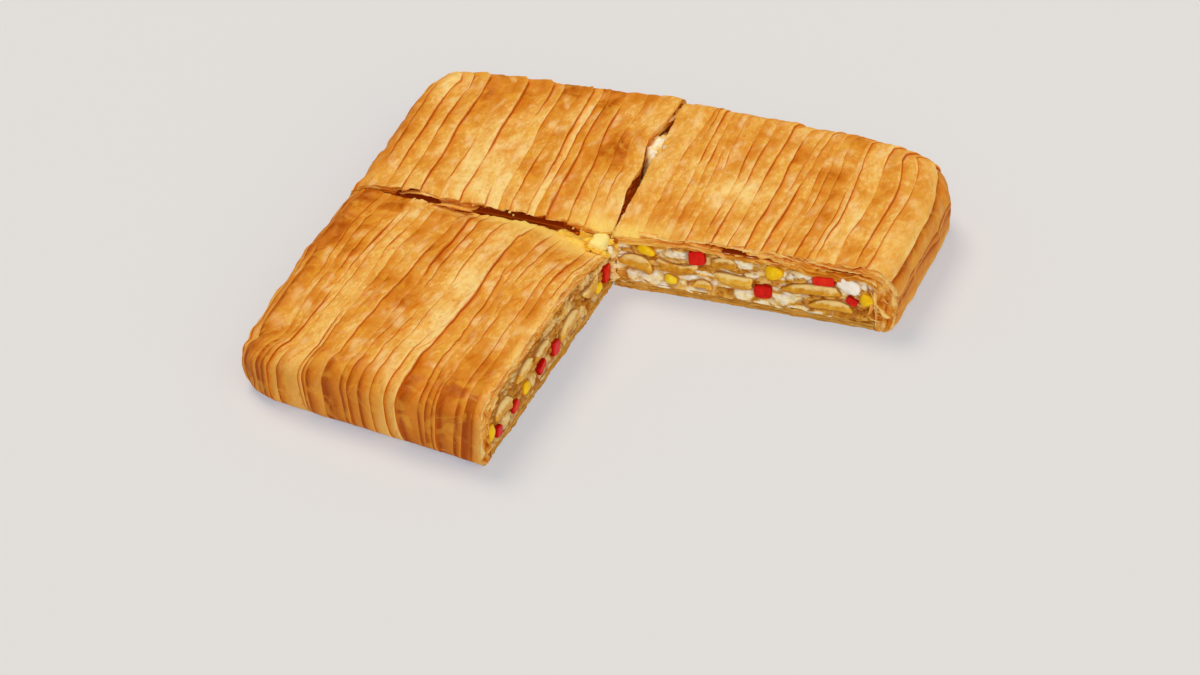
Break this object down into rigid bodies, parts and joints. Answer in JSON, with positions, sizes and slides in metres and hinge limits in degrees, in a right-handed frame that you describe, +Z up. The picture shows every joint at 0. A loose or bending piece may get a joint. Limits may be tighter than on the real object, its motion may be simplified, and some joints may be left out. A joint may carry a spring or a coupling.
{
  "type": "mushroom pie",
  "caption": "Baked pie of pleated flaky pastry, cut square, with a creamy mushroom, sweet pepper and sweetcorn filling that shows where a corner slice has been taken.",
  "frame": {"origin": "middle of the footprint's bounding box, on the surface that the pie lies on", "axes": "+Z up; +Y to the back, along the pleats of the top crust; +X to the right, across them. The missing corner is at +X, -Y"},
  "size_m": [0.2908, 0.3024, 0.035],
  "materials": {
    "crust": "semi-gloss, browned and flaky",
    "crust_bottom": "matt, dry pastry",
    "filling": "creamy, slightly moist",
    "mushroom": "moist",
    "pepper": "moist",
    "sweetcorn": "moist, shiny",
    "cheese": "soft, matt",
    "melted_cheese": "soft, buttery"
  },
  "bodies": {
    "root": {"back_left_cheese_1": "cheese", "back_left_crust_bottom": "crust_bottom", "back_left_crust_top": "crust", "back_left_filling": "filling", "back_left_mushroom_1": "mushroom", "back_right_cheese_1": "cheese", "back_right_crust_bottom": "crust_bottom", "back_right_crust_top": "crust", "back_right_filling": "filling", "back_right_mushroom_1": "mushroom", "back_right_mushroom_2": "mushroom", "back_right_mushroom_3": "mushroom", "back_right_mushroom_4": "mushroom", "back_right_mushroom_5": "mushroom", "back_right_mushroom_6": "mushroom", "back_right_mushroom_7": "mushroom", "back_right_pepper_1": "pepper", "back_right_pepper_2": "pepper", "back_right_pepper_3": "pepper", "back_right_pepper_4": "pepper", "back_right_sweetcorn_1": "sweetcorn", "back_right_sweetcorn_2": "sweetcorn", "back_right_sweetcorn_3": "sweetcorn", "back_right_sweetcorn_4": "sweetcorn", "front_left_crust_bottom": "crust_bottom", "front_left_crust_top": "crust", "front_left_filling": "filling", "front_left_melted_cheese": "melted_cheese", "front_left_mushroom_1": "mushroom", "front_left_mushroom_2": "mushroom", "front_left_mushroom_3": "mushroom", "front_left_mushroom_4": "mushroom", "front_left_mushroom_5": "mushroom", "front_left_pepper_1": "pepper", "front_left_pepper_2": "pepper", "front_left_pepper_3": "pepper", "front_left_pepper_4": "pepper", "front_left_pepper_5": "pepper", "front_left_sweetcorn_1": "sweetcorn", "front_left_sweetcorn_2": "sweetcorn", "front_left_sweetcorn_3": "sweetcorn"}
  },
  "joints": []
}
